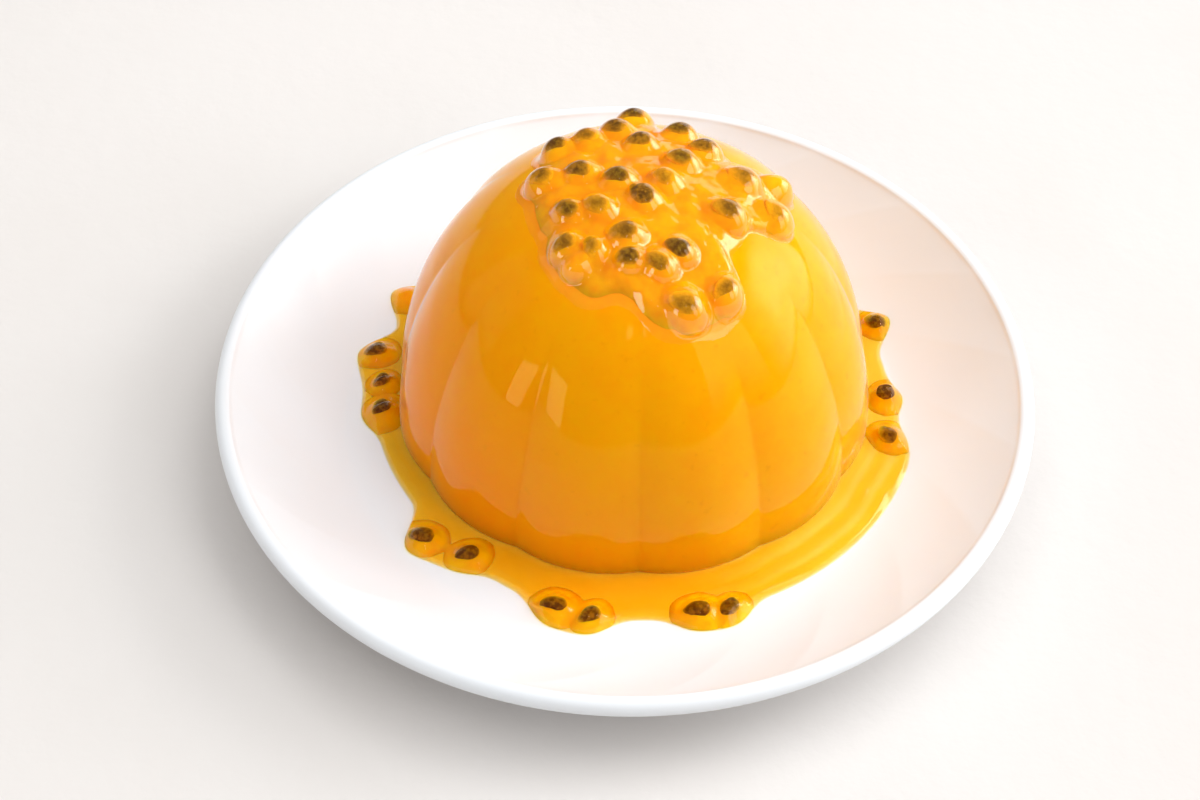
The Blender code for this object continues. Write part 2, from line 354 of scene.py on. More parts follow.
class Nodes:
    """A node tree and the ways to add to it."""

    def __init__(self, tree):
        self.tree = tree

    def give(self, socket, value):
        """Links a socket to a value's node, or sets its constant."""
        if isinstance(value, Value):
            self.tree.links.new(value.socket, socket)
        else:
            socket.default_value = value

    def node(self, kind, settings=None, inputs=None, output=0):
        """Adds a node: its settings first, then its inputs; the answer is one of its outputs."""
        made = self.tree.nodes.new(kind)
        for name, setting in (settings or {}).items():
            setattr(made, name, setting)
        for key, value in (inputs or {}).items():
            self.give(made.inputs[key], value)
        return Value(self, made.outputs[output])

    def place(self):
        """The place on the piece, in metres."""
        return self.node("ShaderNodeTexCoord", output="Object")

    def noise(self, size, detail=2.0, roughness=0.5):
        """Cloudy noise whose clouds are about this size."""
        return self.node("ShaderNodeTexNoise", inputs={
            "Vector": self.place(), "Scale": 1 / size, "Detail": detail,
            "Roughness": roughness}, output="Fac")

    def between(self, value, low, high):
        """0 where the value is below low, 1 above high and eased between."""
        return self.node("ShaderNodeMapRange", {"interpolation_type": "SMOOTHSTEP"},
                         {"Value": value, "From Min": low, "From Max": high})

    def mix(self, share, first, second):
        """A mix of two colours."""
        pair = [(*colour, 1) if isinstance(colour, (tuple, list)) else colour
                for colour in (first, second)]
        return self.node("ShaderNodeMix", {"data_type": "RGBA"},
                         {0: share, 6: pair[0], 7: pair[1]}, output=2)

    def bump(self, height, depth, below=None):
        """Relief this deep, in metres, for the surface."""
        inputs = {"Height": height, "Distance": depth, "Strength": 1.0}
        if below is not None:
            inputs["Normal"] = below
        return self.node("ShaderNodeBump", inputs=inputs, output="Normal")


class Finish(Nodes):
    """A material with one main shader."""

    def __init__(self, name):
        self.material = bpy.data.materials.new(name)
        self.material.use_nodes = True
        super().__init__(self.material.node_tree)
        self.shader = self.tree.nodes["Principled BSDF"]
        self.output = self.tree.nodes["Material Output"]

    def surface(self, **inputs):
        """Sets or links inputs of the main shader by their names, with _ for a space."""
        for name, value in inputs.items():
            self.give(self.shader.inputs[name.replace("_", " ")], value)
        return self.material

    def let_light_through(self, tint):
        """Lets light pass on to what lies below, tinted, instead of casting a shadow there."""
        passing = self.node("ShaderNodeBsdfTransparent", inputs={"Color": tint})
        shaded = self.node("ShaderNodeLightPath", output="Is Shadow Ray")
        shown = Value(self, self.shader.outputs[0])
        both = self.node("ShaderNodeMixShader", inputs={0: shaded, 1: shown, 2: passing})
        self.give(self.output.inputs["Surface"], both)


def tinted(colour, red, green, blue):
    """A colour with each of its parts scaled."""
    return (colour[0] * red, colour[1] * green, colour[2] * blue)


def china_finish(settings):
    """White glazed china with a faint unevenness in its glaze."""
    finish = Finish("white glazed china")
    glaze = tuple(settings.glaze)
    warm = tinted(glaze, 0.99, 0.98, 0.97)
    clouds = finish.between(finish.noise(35 * MM, 3), 0.35, 0.7)
    ripple = finish.bump(finish.noise(9 * MM, 2), 0.05 * MM)
    return finish.surface(
        Base_Color=finish.mix(clouds, glaze, warm),
        Roughness=0.26 + finish.noise(14 * MM, 3) * 0.1,
        IOR=1.38, Coat_Weight=0.06, Coat_Roughness=0.1,
        Normal=ripple)


def jelly_finish(settings):
    """Cloudy set jelly: light goes deep into it, and its wet skin is glossy."""
    finish = Finish("orange fruit jelly")
    clouds = finish.between(finish.noise(16 * MM, 4, 0.6), 0.38, 0.68)
    specks = finish.between(finish.noise(2.2 * MM, 2), 0.62, 0.8) * 0.35
    deep = tuple(settings.deep_colour)
    body = finish.mix(clouds, tuple(settings.colour), deep)
    # Painted shade: the body turns a deeper, redder orange towards the left and the foot, where
    # less light reaches through the jelly.
    lean = finish.node("ShaderNodeVectorMath", {"operation": "DOT_PRODUCT"},
                       {0: finish.place(), 1: PAINTED_SHADE_WAY}, output="Value")
    painted_shade = finish.between(lean + finish.noise(20 * MM, 2) * 0.01, *PAINTED_SHADE_SPAN)
    body = finish.mix(painted_shade, body, tinted(deep, 0.95, 0.72, 1))
    waves = finish.bump(finish.noise(24 * MM, 1.5), 0.2 * MM)
    skin = finish.bump(finish.noise(3 * MM, 2), 0.004 * MM, waves)
    return finish.surface(
        Base_Color=finish.mix(specks, body, tinted(deep, 0.85, 0.8, 1)),
        Roughness=0.01 + finish.noise(10 * MM, 3) * 0.03,
        IOR=1.34, Specular_Tint=(1, 0.75, 0.25, 1),
        Subsurface_Weight=1.0, Subsurface_Radius=(1.0, 0.65, 0.15),
        Subsurface_Scale=9 * MM,
        Sheen_Weight=0.4, Sheen_Roughness=0.25, Sheen_Tint=(1, 0.95, 0.75, 1),
        Normal=skin)


def gel_finish(name, settings, depth_colour, density, coat):
    """Clear amber gel that darkens towards orange where it is thick; density is per metre."""
    finish = Finish(name)
    gel = tuple(settings.gel)
    rich = tinted(gel, 1, 0.98, 0.8)
    clouds = finish.between(finish.noise(6 * MM, 3), 0.35, 0.7)
    skin = finish.bump(finish.noise(2.6 * MM, 2), 0.05 * MM)
    finish.surface(
        Base_Color=finish.mix(clouds, gel, rich),
        Roughness=0.02 + finish.noise(4 * MM, 2) * 0.08,
        IOR=1.38, Transmission_Weight=1.0, Specular_Tint=(1, 0.7, 0.3, 1),
        Coat_Weight=coat, Coat_IOR=1.5, Coat_Roughness=0.02,
        Normal=skin)
    depth = finish.node("ShaderNodeVolumeAbsorption",
                        inputs={"Color": (*depth_colour, 1), "Density": density})
    finish.give(finish.output.inputs["Volume"], depth)
    finish.let_light_through(GEL_SHADOW)
    return finish.material


def flesh_finish(name, flesh):
    """Soft cloudy flesh of the pulp, under the clear gel and round the seeds."""
    finish = Finish(name)
    ripe = tinted(flesh, 0.97, 0.82, 1)
    clouds = finish.between(finish.noise(3.5 * MM, 3), 0.35, 0.68)
    finish.let_light_through(FLESH_SHADOW)
    return finish.surface(
        Base_Color=finish.mix(clouds, flesh, ripe),
        Roughness=0.45 + finish.noise(2 * MM, 2) * 0.2,
        IOR=1.1,
        Subsurface_Weight=1.0, Subsurface_Radius=(1.0, 0.6, 0.1), Subsurface_Scale=1.5 * MM,
        Normal=finish.bump(finish.noise(1.4 * MM, 2), 0.08 * MM))


def seed_finish(name, settings, flesh, clings):
    """Dark olive-brown seeds with a pitted, mottled coat and flesh clinging to their sides.

    clings gives how buried a point is where the flesh begins and where it covers the seed.
    """
    finish = Finish(name)
    mottle = finish.between(finish.noise(1.1 * MM, 4, 0.65), 0.4, 0.66)
    batch = finish.between(finish.noise(9 * MM, 1), 0.35, 0.65)
    dark = tuple(settings.seed_dark)
    light = tuple(settings.seed_light)
    olive = tinted(light, 0.7, 0.9, 1)
    pits = finish.node("ShaderNodeTexVoronoi", inputs={
        "Vector": finish.place(), "Scale": 1 / (0.55 * MM)}, output="Distance")
    buried = finish.node("ShaderNodeAttribute", {"attribute_name": "buried"}, output="Fac")
    clinging = finish.between(buried + finish.noise(1.5 * MM, 2) * 0.15, *clings)
    coat = finish.mix(mottle, dark, finish.mix(batch, light, olive))
    return finish.surface(
        Base_Color=finish.mix(clinging, coat, flesh),
        Roughness=0.4 + finish.noise(1.5 * MM, 2) * 0.2,
        IOR=1.2,
        Normal=finish.bump(pits, 0.12 * MM))


def floor_finish(settings):
    """A plain pale matt floor."""
    finish = Finish("pale floor")
    floor = tuple(settings.floor)
    shade = tinted(floor, 0.97, 0.965, 0.96)
    clouds = finish.between(finish.noise(90 * MM, 4), 0.35, 0.7)
    return finish.surface(Base_Color=finish.mix(clouds, floor, shade),
                          Roughness=0.75 + finish.noise(30 * MM, 3) * 0.15,
                          Normal=finish.bump(finish.noise(5 * MM, 4), 0.15 * MM))


# ---------------------------------------------------------------- shapes

def smooth_step(start, end, value):
    """0 before start, 1 after end and an eased slope between; start may be above end."""
    part = np.clip((value - start) / (end - start), 0, 1)
    return part * part * (3 - 2 * part)


def around(bearing, reach, height, centre=(0.0, 0.0)):
    """Points at these bearings and reaches from an upright axis."""
    bearing, reach, height = np.broadcast_arrays(bearing, reach, height)
    return np.stack((centre[0] + reach * np.sin(bearing),
                     centre[1] - reach * np.cos(bearing), height), axis=-1)


def bearings(steps, start=0.0):
    """Evenly spaced bearings, once round."""
    return start + FULL_TURN * np.arange(steps) / steps


def from_to(span, bearing):
    """0 at the first of two bearings in degrees, 1 at the second and an eased slope between."""
    signed = (bearing + math.pi) % FULL_TURN - math.pi
    return smooth_step(math.radians(span[0]), math.radians(span[1]), signed)


def make_piece(name, points, faces, material, nodes, buried=None):
    """A smooth mesh piece that rides on the root body and stands for these nodes.

    buried says how deep in the gel each point lies, from 0 to 1.
    """
    mesh = bpy.data.meshes.new(name)
    mesh.from_pydata(points.tolist(), [], faces)
    mesh.update()
    mesh.materials.append(material)
    mesh.shade_smooth()
    if buried is not None:
        mesh.attributes.new("buried", "FLOAT", "POINT").data.foreach_set("value", buried)
    piece = bpy.data.objects.new(name, mesh)
    bpy.context.scene.collection.objects.link(piece)
    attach(piece, "root")
    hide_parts(*nodes)
    return piece


def ring_faces(index):
    """Faces between neighbouring rings, each row of index being the points of one ring."""
    after = np.roll(index, -1, axis=1)
    faces = np.stack((index[:-1], index[1:], after[1:], after[:-1]), axis=-1)
    return faces.reshape(-1, 4).tolist()


def end_faces(index, hub):
    """Faces that fill the first ring from the point hub, and the last from the point after it."""
    after = np.roll(index, -1, axis=1)
    faces = []
    for step in range(index.shape[1]):
        faces.append((hub, int(index[0, step]), int(after[0, step])))
        faces.append((hub + 1, int(after[-1, step]), int(index[-1, step])))
    return faces


def skin(rings, closed_section=False):
    """Points and faces of a closed skin over rings, given from the upper face round to the lower.

    Each end ring is filled from its middle. With closed_section the last ring joins the first.
    """
    rings = np.array(rings)
    rows, steps, _ = rings.shape
    points = rings.reshape(-1, 3)
    index = np.arange(rows * steps).reshape(rows, steps)
    if closed_section:
        return points, ring_faces(np.vstack((index, index[:1])))
    faces = ring_faces(index) + end_faces(index, len(points))
    points = np.vstack((points, rings[0].mean(axis=0), rings[-1].mean(axis=0)))
    return points, faces


def plate_height(settings, radius):
    """Height of the plate's upper face at a distance from its middle, without the flutes."""
    part = np.clip((radius - settings.well_radius)
                   / (FLANGE_END_RADIUS - settings.well_radius), 0, 1)
    return WELL_HEIGHT + (FLANGE_END_HEIGHT - WELL_HEIGHT) * part**FLANGE_CURVE


def flange_ring(settings, radius):
    """One ring of the fluted upper face; its points follow the flutes' ridges."""
    inward = (FLANGE_END_RADIUS - radius) / (FLANGE_END_RADIUS - settings.well_radius)
    round_it = bearings(PLATE_STEPS, FLUTE_BEARING + settings.flute_twist * min(inward, 1))
    turns = np.arange(PLATE_STEPS) * settings.flutes / PLATE_STEPS % 1
    strength = smooth_step(*FLUTES_FADE_IN, inward) * smooth_step(*FLUTES_FADE_OUT, inward)
    relief = settings.flute_depth * strength * np.sin(math.pi * turns) ** FLUTE_ROUNDNESS
    return around(round_it, radius, plate_height(settings, radius) - relief)


def plate_rings(settings):
    """The plate's rings: well, fluted flange, rolled lip, underside and foot."""
    width = FLANGE_END_RADIUS - settings.well_radius
    rings = [flange_ring(settings, settings.well_radius * part) for part in WELL_RINGS]
    for band in range(FLANGE_BANDS + 1):
        rings.append(flange_ring(settings, settings.well_radius + width * band / FLANGE_BANDS))
    lip_centre = settings.radius - LIP_BEAD
    lip_height = PLATE_HIGH.z - LIP_BEAD
    outline = []
    for band in range(LIP_BANDS + 1):
        angle = LIP_STARTS + (LIP_ENDS - LIP_STARTS) * band / LIP_BANDS
        outline.append((lip_centre + LIP_BEAD * math.cos(angle),
                        lip_height + LIP_BEAD * math.sin(angle)))
    for radius in UNDERSIDE_RADII:
        outline.append((radius * MM, plate_height(settings, radius * MM) - PLATE_WALL))
    recess = WELL_HEIGHT - PLATE_WALL
    foot_inside = FOOT_RADIUS - FOOT_WIDTH
    outline += [
        (FOOT_RADIUS + FOOT_ROUND, recess),
        (FOOT_RADIUS, FOOT_ROUND),
        (FOOT_RADIUS - FOOT_BEVEL, FOOT_BEVEL),
        (FOOT_RADIUS - FOOT_ROUND, 0),
        (foot_inside + FOOT_ROUND, 0),
        (foot_inside + FOOT_BEVEL, FOOT_BEVEL),
        (foot_inside, FOOT_ROUND),
        (foot_inside - FOOT_ROUND, recess),
    ]
    rings += [around(bearings(PLATE_STEPS, FLUTE_BEARING), radius, float(height))
              for radius, height in outline]
    return rings


def jelly_radius(settings, rise, bearing):
    """Radius of the jelly at a fraction of its height; its round lobes meet in creases."""
    body = settings.radius * (1 - rise**settings.shoulder) ** (1 / settings.fullness)
    across = (bearing - LOBE_BEARING) * settings.lobes / FULL_TURN % 1
    arch = 1 - (2 * across - 1) ** 2
    crease = 1 - np.sqrt(arch**2 + CREASE_ROUNDING**2) + CREASE_ROUNDING**2 / 2
    fade = smooth_step(LOBES_GONE_AT, LOBES_FADE_FROM, rise)
    return body - settings.lobe_depth * fade * crease


def jelly_points(settings, rise, bearing, offset=0.0):
    """Points on the jelly's surface, or this far off it, square to its upright section."""
    low = np.maximum(rise - SLOPE_STEP, 0)
    high = np.minimum(rise + SLOPE_STEP, 1)
    fall = jelly_radius(settings, low, bearing) - jelly_radius(settings, high, bearing)
    climb = (high - low) * settings.height
    length = np.hypot(fall, climb)
    reach = jelly_radius(settings, rise, bearing) + offset * climb / length
    height = JELLY_LOW.z + settings.height * rise + offset * fall / length
    return around(bearing, reach, height, JELLY_CENTRE)


def rise_at(settings, reach, bearing):
    """The fraction of the jelly's height at which its surface has this reach."""
    low = np.zeros(np.broadcast(reach, bearing).shape)
    high = np.ones_like(low)
    for _ in range(HALVINGS):
        middle = (low + high) / 2
        inside = jelly_radius(settings, middle, bearing) > reach
        low = np.where(inside, middle, low)
        high = np.where(inside, high, middle)
    return low


def jelly_rings(settings):
    """The jelly's rings from its crown down to its flat base."""
    round_it = bearings(settings.lobes * STEPS_PER_LOBE, LOBE_BEARING)
    rings = []
    for band in range(JELLY_BANDS - 1, -1, -1):
        rise = math.sin(math.pi / 2 * band / JELLY_BANDS) ** (2 / settings.shoulder)
        rise = max(rise, JELLY_EDGE / settings.height)
        rings.append(jelly_points(settings, rise, round_it))
    edge = jelly_radius(settings, 0.0, round_it)
    for turn in JELLY_EDGE_TURNS:
        angle = math.radians(turn)
        rings.append(around(round_it, edge - JELLY_EDGE * (1 - math.cos(angle)),
                            JELLY_LOW.z + JELLY_EDGE * (1 - math.sin(angle)), JELLY_CENTRE))
    return rings


def gel_outline(sacs, sheet_reach, sac_radius):
    """How far the gel reaches at every bearing, with the corners between its sacs eased."""
    round_it = bearings(OUTLINE_STEPS)
    reach = np.broadcast_to(sheet_reach, round_it.shape).copy()
    for degrees, distance, _, size in sacs:
        turn = round_it - math.radians(degrees)
        aside = distance * MM * np.sin(turn)
        radius = sac_radius * (SMALL_SAC_REACH + (1 - SMALL_SAC_REACH) * size)
        chord = np.sqrt(np.maximum(radius**2 - aside**2, 0))
        edge = distance * MM * np.cos(turn) + chord
        near = (np.cos(turn) > 0) & (np.abs(aside) < radius)
        reach = np.where(near, np.maximum(reach, edge), reach)
    width = int(OUTLINE_EASING * OUTLINE_STEPS / 360)
    span = range(-width // 2, width // 2 + 1)
    for _ in range(2):
        reach = sum(np.roll(reach, step) for step in span) / len(span)
    return reach


def bridges(sacs):
    """Low film that joins the sacs that lie close together."""
    ordered = sorted(sacs)
    return tuple(((first[0] + after[0]) / 2, (first[1] + after[1]) / 2 - BRIDGE_SET_BACK,
                  0, 1.0)
                 for first, after in zip(ordered, ordered[1:])
                 if after[0] - first[0] < BRIDGED)


def outline_at(outline, bearing):
    """The outline's reach at these bearings."""
    spots = np.append(bearings(OUTLINE_STEPS), FULL_TURN)
    return np.interp(bearing % FULL_TURN, spots, np.append(outline, outline[0]))


def uneven(across, away, size):
    """Smooth noise from -1 to 1 over a surface, with lumps of about this size."""
    spots = zip(across.ravel() / size, away.ravel() / size)
    values = [noise.noise((x, y, 0.5)) for x, y in spots]
    return np.array(values).reshape(across.shape)


def sac_swell(pulp, sacs, bearing, reach, sheet, rumpled, shift=SAC_SHIFT):
    """Height of the gel where its sacs of seed swell out of the sheet.

    sheet is the thickness between the sacs, rumpled is how uneven that is, and shift is how
    far each dome's top stands from its seed.
    """
    bearing, reach = np.broadcast_arrays(bearing, reach)
    across = reach * np.sin(bearing)
    away = -reach * np.cos(bearing)
    rumple = uneven(across, away, RUMPLE_SIZE)
    fine = uneven(away, across, FINE_RUMPLE_SIZE)
    total = np.maximum(sheet * (1 + rumpled * (rumple + FINE_RUMPLE * fine)), 0) ** SAC_MERGE
    for degrees, distance, turn, size in sacs:
        angle = math.radians(degrees)
        aside = across - distance * MM * math.sin(angle) - shift[0]
        ahead = away + distance * MM * math.cos(angle) - shift[1]
        lean = math.radians(turn)
        along = aside * math.cos(lean) + ahead * math.sin(lean)
        over = ahead * math.cos(lean) - aside * math.sin(lean)
        spread = (2 * along / (pulp.sac_length * size)) ** 2
        spread = spread + (2 * over / (pulp.sac_width * size)) ** 2
        spread = spread * (1 + SAC_RAGGED * rumple)
        tall = pulp.sac_height * (SMALL_SAC_HEIGHT + (1 - SMALL_SAC_HEIGHT) * size)
        total = total + (tall * np.maximum(1 - spread, 0) ** SAC_PEAK) ** SAC_MERGE
    return total ** (1 / SAC_MERGE)


def edge_parts(bands):
    """Parts of the way out to an edge, from just off the middle, closest together at the edge."""
    spots = np.linspace(0, 1, bands + 1)[1:]
    return 1 - (1 - spots) ** EDGE_CROWDING


def round_edge(inset, width):
    """0 at the gel's edge, 1 from this far in, with the round shoulder of a thick liquid."""
    part = np.clip(inset / width, 0, 1)
    return np.sqrt(1 - (1 - part) ** 2)


def crown_gel_rings(jelly, pulp, flesh=False):
    """The crown's gel: its upper face swells over each sac, its lower is sunk in the jelly.

    With flesh it is only the cloudy flesh inside the gel, which stays further down.
    """
    sacs = CROWN_SACS + CROWN_LUMPS
    outline = gel_outline(sacs + CROWN_FILM, CROWN_SHEET_REACH,
                          pulp.sac_width / 2 + CROWN_MARGIN)
    round_it = bearings(CROWN_STEPS)[None, :]
    edge = outline_at(outline, round_it)
    reach = edge_parts(CROWN_BANDS)[:, None] * edge
    rise = rise_at(jelly, reach, round_it)
    sheet = pulp.sheet * smooth_step(0, CROWN_SHOULDER, edge - reach)
    height = sac_swell(pulp, sacs, round_it, reach, sheet, CROWN_RUMPLE)
    height = height * smooth_step(0, CROWN_EDGE, edge - reach)
    if flesh:
        cloudy = sac_swell(pulp, sacs, round_it, reach, sheet, CROWN_RUMPLE, FLESH_SHIFT)
        height = np.minimum(CROWN_FLESH_SHARE * cloudy, CROWN_FLESH_LIMIT * height)
        height = np.maximum(height - CROWN_FLESH_COVER, -SUNK / 2)
    upper = jelly_points(jelly, rise, round_it, height)
    sunk = jelly_points(jelly, rise, round_it, -SUNK)
    return list(upper) + list(sunk[::-CROWN_LOWER_STRIDE]) + [sunk[0]]


def base_outline(pulp, sacs):
    """How far the pulp and juice round the foot reach at every bearing."""
    begins, full, falls, ends = BASE_SPREAD_BEARINGS
    round_it = bearings(OUTLINE_STEPS)
    spread = from_to((begins, full), round_it) * from_to((ends, falls), round_it)
    return gel_outline(sacs + bridges(sacs), BASE_SHEET_REACH + BASE_SHEET_SPREAD * spread,
                       pulp.sac_width / 2 + BASE_MARGIN)


def base_sheet(bearing, outward):
    """Thickness of the juice between its sacs, streaked where it was spooned to one side."""
    thick = BASE_SHEET + BASE_FULLER * from_to(BASE_FULLER_BEARINGS, bearing)
    thick = thick * (1 - BASE_THINNER * from_to(BASE_THINNER_BEARINGS, bearing))
    swept = smooth_step(0, BASE_INSIDE_WIDTH, outward)
    thick = thick * (BASE_INSIDE_SHARE + (1 - BASE_INSIDE_SHARE) * swept)
    turned = (bearing + math.pi) % FULL_TURN - math.pi
    waver = uneven(STREAK_WAVER_REACH * turned, 0 * turned, STREAK_WAVER_SIZE)
    waves = np.sin(FULL_TURN * outward / STREAK_WIDTH + STREAK_WAVER * waver)
    streaked = from_to(STREAK_STARTS, bearing) * from_to(STREAK_ENDS, bearing)
    return thick + STREAK_HEIGHT * streaked * waves


def base_gel_rings(plate, jelly, pulp, flesh=False):
    """The ring of pulp and juice between the jelly's foot and the plate, or only its flesh."""
    sacs = BASE_SACS + BASE_LUMPS
    round_it = bearings(BASE_STEPS)[None, :]
    edge = outline_at(base_outline(pulp, sacs), round_it)
    inner = jelly_radius(jelly, BASE_INSIDE_RISE, round_it)
    reach = inner + edge_parts(BASE_BANDS)[:, None] * (edge - inner)
    sheet = base_sheet(round_it, reach - inner) * round_edge(edge - reach, BASE_SHOULDER)
    height = BASE_SWELL * sac_swell(pulp, sacs, round_it, reach, sheet / BASE_SWELL, BASE_RUMPLE)
    height = np.minimum(height, BASE_EDGE_RISE + (edge - reach))
    height = height * round_edge(edge - reach, BASE_EDGE)
    if flesh:
        wide = [(*sac[:3], sac[3] * BASE_FLESH_SPREAD) for sac in sacs]
        cloudy = BASE_FLESH_SHARE * sac_swell(pulp, wide, round_it, reach, 0 * reach,
                                              BASE_FLESH_RUMPLE, FLESH_SHIFT)
        cloudy = cloudy**2 / (cloudy + BASE_FLESH_FOOT)
        height = np.minimum(cloudy, BASE_FLESH_LIMIT * height) - SUNK
    inmost = inner - BASE_INSIDE_OVERLAP
    upper = [over_plate(plate, round_it[0], inmost[0], height[0])]
    upper += [over_plate(plate, round_it[0], reach[row], height[row])
              for row in range(BASE_BANDS)]
    lower = [over_plate(plate, round_it[0], edge[0] * share + inmost[0] * (1 - share), -2 * SUNK)
             for share in BASE_LOWER_SHARES]
    return upper + lower


def over_plate(plate, bearing, reach, height):
    """Points at these bearings and reaches from the jelly's axis, this high over the plate."""
    points = around(bearing, reach, 0.0, JELLY_CENTRE)
    radius = np.hypot(points[..., 0], points[..., 1])
    points[..., 2] = plate_height(plate, radius) + height
    return points


def one_seed(pulp, size, marks):
    """Points of one seed lying along X: a flattened drop with an uneven coat."""
    along = np.linspace(0, math.pi, SEED_BANDS)[1:-1, None]
    about = bearings(SEED_STEPS)[None, :]
    width = 1 + SEED_TAPER * np.cos(along) - SEED_TAPER
    girth = SEED_FILL * np.sin(along) ** SEED_BLUNTNESS * width
    points = np.stack(np.broadcast_arrays(
        pulp.seed_length / 2 * np.cos(along),
        pulp.seed_width / 2 * girth * np.cos(about),
        pulp.seed_height / 2 * girth * np.sin(about)), axis=-1) * size
    ends = np.array(((pulp.seed_length / 2 * size, 0, 0), (-pulp.seed_length / 2 * size, 0, 0)))
    points = np.vstack((points.reshape(-1, 3), ends))
    for point in points:
        where = Vector(point) / SEED_LUMP_SIZE + marks
        point *= (1 + SEED_LUMPS * noise.noise(where)
                  + SEED_FINE_LUMPS * noise.noise(where * 3))
    return points


def seed_faces(first):
    """Faces of one seed whose points begin at this number."""
    rows = SEED_BANDS - 2
    index = first + np.arange(rows * SEED_STEPS).reshape(rows, SEED_STEPS)
    return ring_faces(index) + end_faces(index, first + rows * SEED_STEPS)


def lay_seeds(pulp, sacs, spot_of, lift, draw):
    """Every seed in its sac, with how buried each of its points is.

    spot_of gives a sac's place on the surface and the way up there. lift is how far up a seed's
    middle lies, and draw is the source of the random draws.
    """
    every_point = []
    every_face = []
    every_depth = []
    for degrees, distance, turn, size in sacs:
        spot, up = spot_of(math.radians(degrees), distance * MM)
        lean = math.radians(turn + draw.uniform(-SEED_TURN_SPREAD, SEED_TURN_SPREAD))
        facing = (up + SEED_SLUMP).normalized()
        along = Vector((math.cos(lean), math.sin(lean), 0))
        along = (along - facing * along.dot(facing)).normalized()
        tilt = Matrix.Rotation(draw.uniform(-SEED_TILT_SPREAD, SEED_TILT_SPREAD), 3, along)
        frame_of = tilt @ Matrix((along, facing.cross(along), facing)).transposed()
        marks = Vector(draw.uniform(0, 50, 3))
        seed = one_seed(pulp, size * draw.uniform(*SEED_SIZES), marks)
        veil = draw.uniform(*SEED_VEILS)
        every_depth.append(0.5 + veil - seed[:, 2] / (pulp.seed_height * size * SEED_FILL))
        placed = seed @ np.array(frame_of).T + np.array(spot + up * lift)
        every_face += seed_faces(sum(len(points) for points in every_point))
        every_point.append(placed)
    return np.vstack(every_point), every_face, np.concatenate(every_depth)


# ---------------------------------------------------------------- operators

class JELLY_OT_plate(bpy.types.Operator):
    """Make the fluted china plate"""

    bl_idname = "jelly.plate"
    bl_label = "Plate"

    def execute(self, context):
        settings = context.scene.jelly_plate
        points, faces = skin(plate_rings(settings))
        make_piece("fluted_plate", points, faces, china_finish(settings), ["plate"])
        return {"FINISHED"}


class JELLY_OT_body(bpy.types.Operator):
    """Make the lobed jelly"""

    bl_idname = "jelly.body"
    bl_label = "Jelly"

    def execute(self, context):
        settings = context.scene.jelly_body
        points, faces = skin(jelly_rings(settings))
        make_piece("lobed_jelly", points, faces, jelly_finish(settings), ["jelly"])
        return {"FINISHED"}


class JELLY_OT_gel(bpy.types.Operator):
    """Make the pulp on the crown and round the foot: clear gel or juice over cloudy flesh"""

    bl_idname = "jelly.gel"
    bl_label = "Pulp and juice"

    def execute(self, context):
        scene = context.scene
        plate = scene.jelly_plate
        jelly = scene.jelly_body
        pulp = scene.jelly_pulp
        points, faces = skin(crown_gel_rings(jelly, pulp))
        finish = gel_finish("amber pulp gel", pulp, CROWN_DEPTH_COLOUR, CROWN_DENSITY, CROWN_COAT)
        make_piece("crown_gel", points, faces, finish, ["crown_pulp"])
        points, faces = skin(base_gel_rings(plate, jelly, pulp), closed_section=True)
        finish = gel_finish("golden juice", pulp, BASE_DEPTH_COLOUR, BASE_DENSITY, BASE_COAT)
        make_piece("base_juice", points, faces, finish, ["base_pulp"])
        points, faces = skin(crown_gel_rings(jelly, pulp, flesh=True))
        finish = flesh_finish("amber pulp flesh", tuple(pulp.flesh))
        make_piece("crown_flesh", points, faces, finish, ["crown_pulp"])
        points, faces = skin(base_gel_rings(plate, jelly, pulp, flesh=True), closed_section=True)
        finish = flesh_finish("pale pulp flesh", tuple(pulp.pale_flesh))
        make_piece("base_flesh", points, faces, finish, ["base_pulp"])
        return {"FINISHED"}


class JELLY_OT_seeds(bpy.types.Operator):
    """Make the seeds in the pulp, one piece on the crown and one round the foot"""

    bl_idname = "jelly.seeds"
    bl_label = "Seeds"

    def execute(self, context):
        scene = context.scene
        plate = scene.jelly_plate
        jelly = scene.jelly_body
        pulp = scene.jelly_pulp
        draw = np.random.default_rng(FIRST_DRAW)

        def on_crown(bearing, reach):
            rise = rise_at(jelly, np.array(reach), np.array(bearing))
            spot = Vector(jelly_points(jelly, rise, bearing))
            above = Vector(jelly_points(jelly, rise, bearing, MM))
            return spot, (above - spot).normalized()

        def on_plate(bearing, reach):
            return Vector(over_plate(plate, bearing, reach, 0.0)), Vector((0, 0, 1))

        points, faces, buried = lay_seeds(pulp, CROWN_SACS, on_crown, CROWN_SEED_MIDDLE, draw)
        finish = seed_finish("seeds in amber pulp", pulp, tuple(pulp.flesh), CROWN_CLINGS)
        make_piece("crown_seeds", points, faces, finish, ["crown_pulp"], buried)
        points, faces, buried = lay_seeds(pulp, BASE_SACS, on_plate, BASE_SEED_MIDDLE, draw)
        finish = seed_finish("seeds in juice", pulp, tuple(pulp.pale_flesh), BASE_CLINGS)
        make_piece("base_seeds", points, faces, finish, ["base_pulp"], buried)
        return {"FINISHED"}


# ---------------------------------------------------------------- stage

